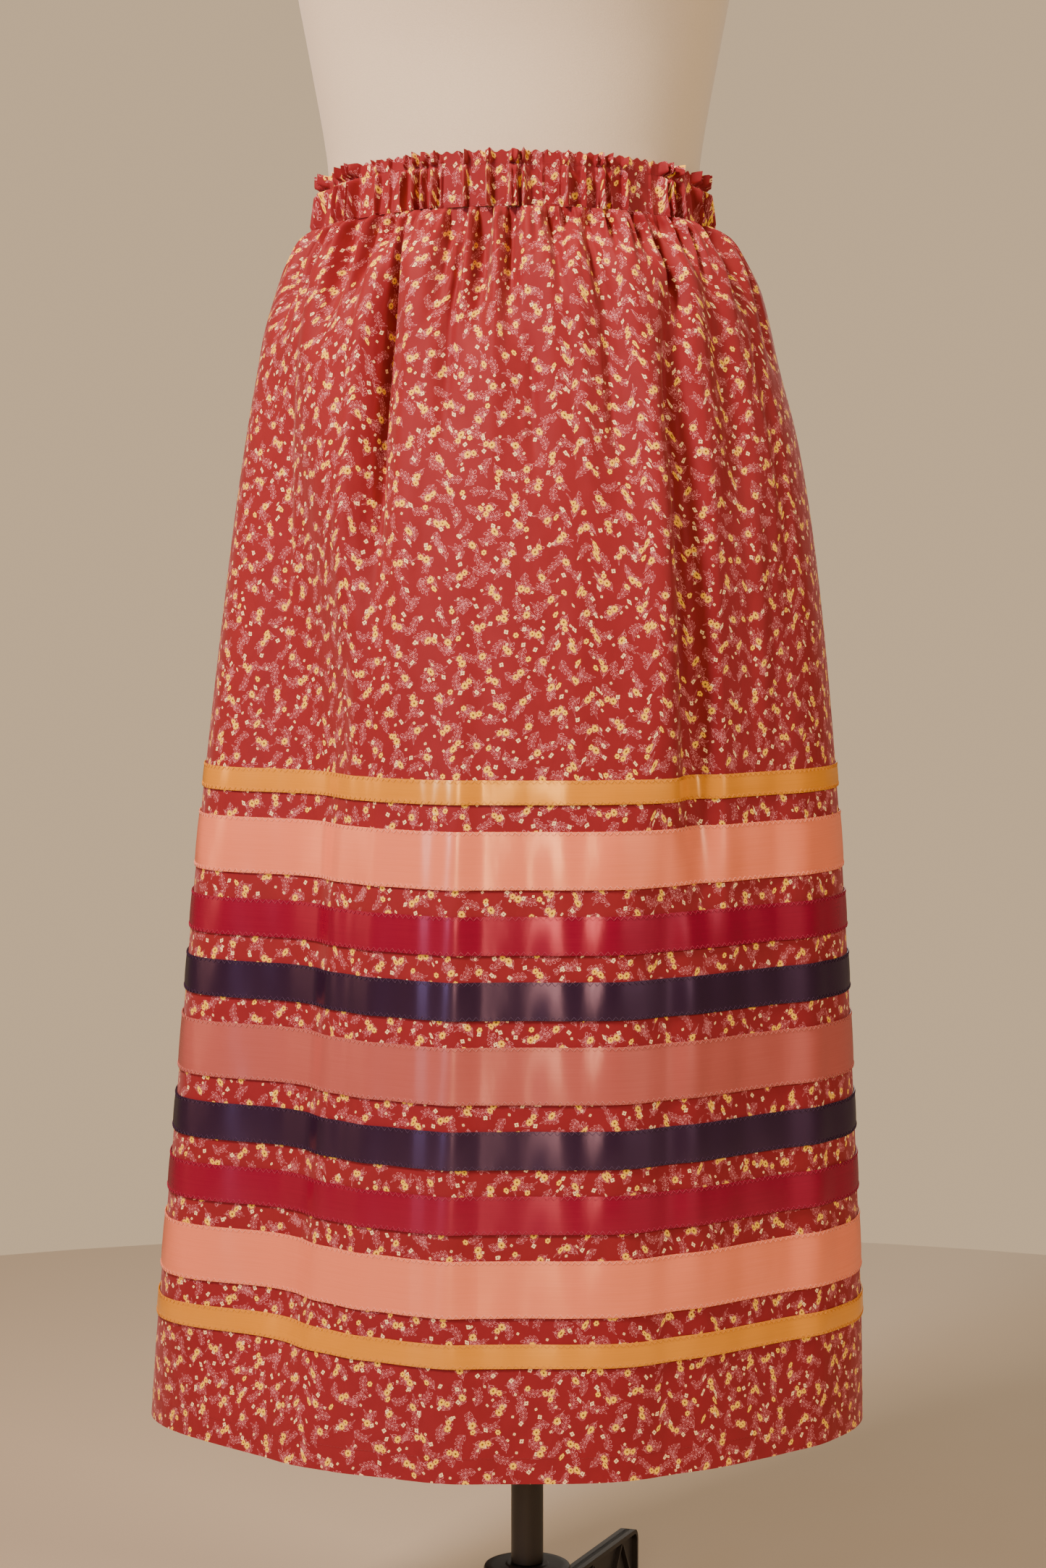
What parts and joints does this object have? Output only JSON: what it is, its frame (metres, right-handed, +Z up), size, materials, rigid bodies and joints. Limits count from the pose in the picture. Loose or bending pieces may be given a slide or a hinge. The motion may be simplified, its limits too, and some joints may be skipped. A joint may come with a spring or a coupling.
{
  "type": "ribbon skirt on a dress form",
  "caption": "Gathered cotton ribbon skirt with an elastic waist and bands of satin ribbon, worn by a limbless dress form on a tripod stand.",
  "frame": {"origin": "on the floor, on the axis of the stand's pole, at the flat underside of the hub", "axes": "+Z up the pole, -Y towards the front of the skirt, +X towards the right of someone who faces its front"},
  "size_m": [0.5065, 0.4565, 1.556],
  "materials": {
    "printed_cotton": "matte printed calico",
    "gold_satin": "satin ribbon",
    "peach_satin": "satin ribbon",
    "raspberry_satin": "satin ribbon",
    "plum_satin": "satin ribbon",
    "rose_satin": "satin ribbon",
    "linen_jersey": "matte stretched jersey over a padded shell",
    "black_steel": "satin black",
    "black_nylon": "matte black moulded"
  },
  "bodies": {
    "root": {"skirt_front": "printed_cotton", "skirt_back": "printed_cotton", "casing_front": "printed_cotton", "casing_back": "printed_cotton", "ribbon_gold_1_front": "gold_satin", "ribbon_gold_1_back": "gold_satin", "ribbon_peach_2_front": "peach_satin", "ribbon_peach_2_back": "peach_satin", "ribbon_raspberry_3_front": "raspberry_satin", "ribbon_raspberry_3_back": "raspberry_satin", "ribbon_plum_4_front": "plum_satin", "ribbon_plum_4_back": "plum_satin", "ribbon_rose_5_front": "rose_satin", "ribbon_rose_5_back": "rose_satin", "ribbon_plum_6_front": "plum_satin", "ribbon_plum_6_back": "plum_satin", "ribbon_raspberry_7_front": "raspberry_satin", "ribbon_raspberry_7_back": "raspberry_satin", "ribbon_peach_8_front": "peach_satin", "ribbon_peach_8_back": "peach_satin", "ribbon_gold_9_front": "gold_satin", "ribbon_gold_9_back": "gold_satin", "form_torso": "linen_jersey", "stand_pole": "black_steel", "stand_hub": "black_nylon", "stand_leg_1": "black_nylon", "stand_leg_2": "black_nylon", "stand_leg_3": "black_nylon"}
  },
  "joints": []
}
